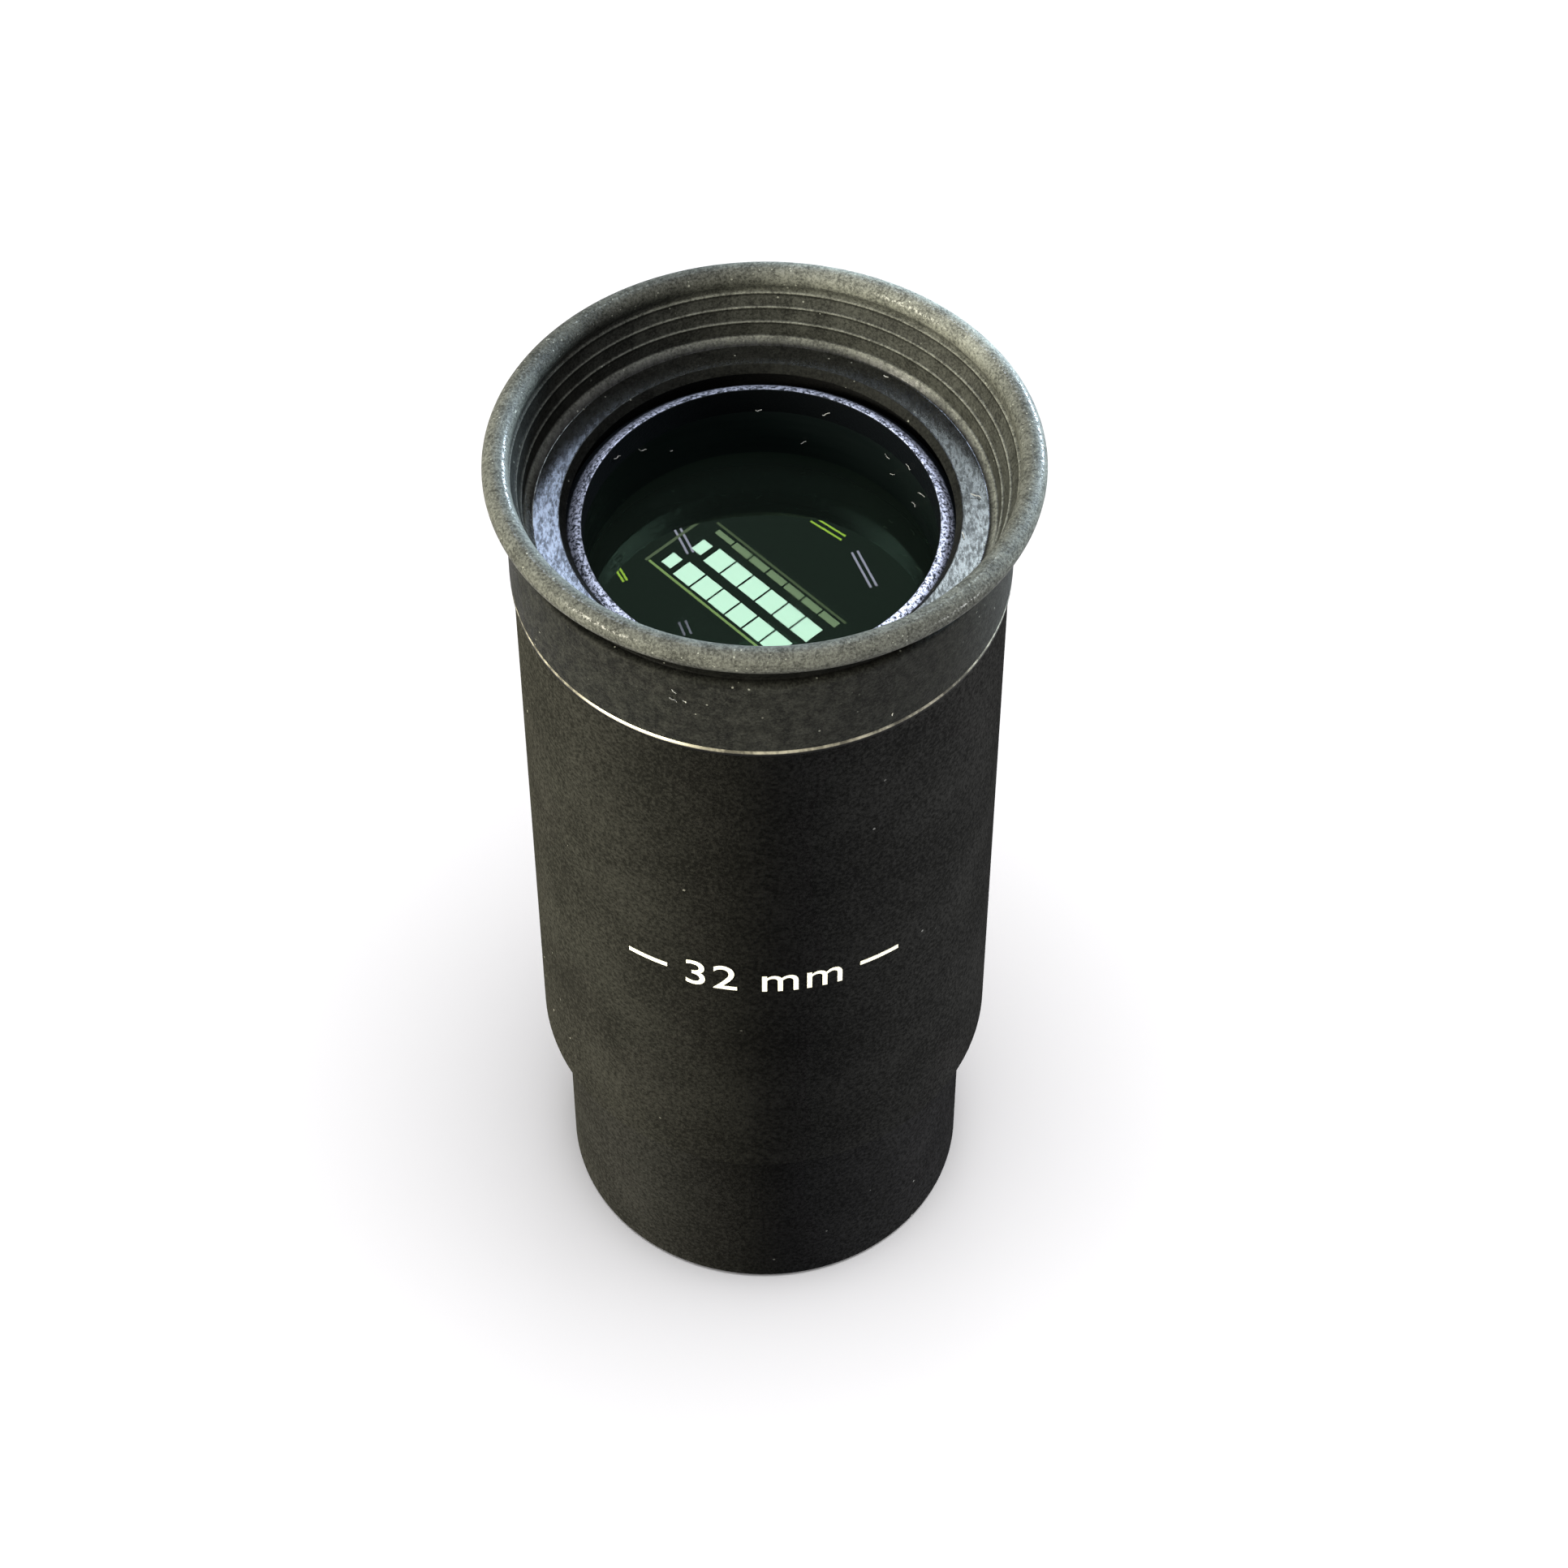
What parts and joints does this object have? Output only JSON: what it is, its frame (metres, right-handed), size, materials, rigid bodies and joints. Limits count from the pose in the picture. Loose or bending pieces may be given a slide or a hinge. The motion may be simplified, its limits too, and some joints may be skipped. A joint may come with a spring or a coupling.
{
  "type": "telescope eyepiece",
  "caption": "Telescope eyepiece with a push-fit nosepiece, straight body tube, recessed eye lens and soft flared eyecup; it enlarges the image at a telescope's focus.",
  "frame": {"origin": "on the optical axis at the nosepiece's lower end", "axes": "+Z along the optical axis, from the nosepiece towards the observer's eye; the piece is round about Z, so X and Y are free"},
  "size_m": [0.039, 0.039, 0.0823],
  "materials": {
    "body_black": "fine matt black coating",
    "nosepiece_black": "matt black anodised",
    "inner_black": "dead black anodised",
    "cap_metal": "black anodised, worn bare at the flange's edge",
    "cell_black": "gloss black anodised",
    "bezel_grey": "blasted, grey anodised",
    "eye_glass": "polished, green multi-coating",
    "inner_glass": "polished, edge blackened",
    "field_glass": "polished, green multi-coating",
    "eyecup_rubber": "dusty satin black rubber"
  },
  "bodies": {
    "housing": {"body_tube": "body_black", "eye_end_cap": "cap_metal", "lens_cell": "cell_black", "eye_bezel_ring": "bezel_grey", "lens_retaining_ring": "inner_black", "doublet_spacer": "inner_black", "eye_flint_lens": "eye_glass", "eye_crown_lens": "inner_glass", "field_crown_lens": "inner_glass", "field_flint_lens": "field_glass"},
    "stop_carrier": {"field_stop_ring": "inner_black"},
    "nosepiece": {"nosepiece_barrel": "nosepiece_black"},
    "eyecup": {"eyecup_collar": "eyecup_rubber"},
    "eyecup_lip": {"eyecup_horn": "eyecup_rubber"}
  },
  "joints": [
    {"name": "nosepiece_travel", "type": "slide", "parent": "housing", "child": "stop_carrier", "axis": [0, 0, -1], "range_m": [0, 0.00401]},
    {"name": "nosepiece_turn", "type": "hinge", "parent": "stop_carrier", "child": "nosepiece", "pos_m": [0, 0, 0.0199], "axis": [0, 0, -1], "range_deg": [0, 1440]},
    {"name": "eyecup_pull", "type": "slide", "parent": "housing", "child": "eyecup", "axis": [0, 0, 1], "range_m": [0, 0.006]},
    {"name": "eyecup_press", "type": "slide", "parent": "eyecup", "child": "eyecup_lip", "axis": [0, 0, -1], "range_m": [0, 0.0026], "stiffness_N_per_m": 700, "deforming": ["eyecup_horn"]}
  ],
  "couplings": [
    {"joint": "nosepiece_travel", "follows": "nosepiece_turn", "m_per_rad": 0.00015915}
  ]
}
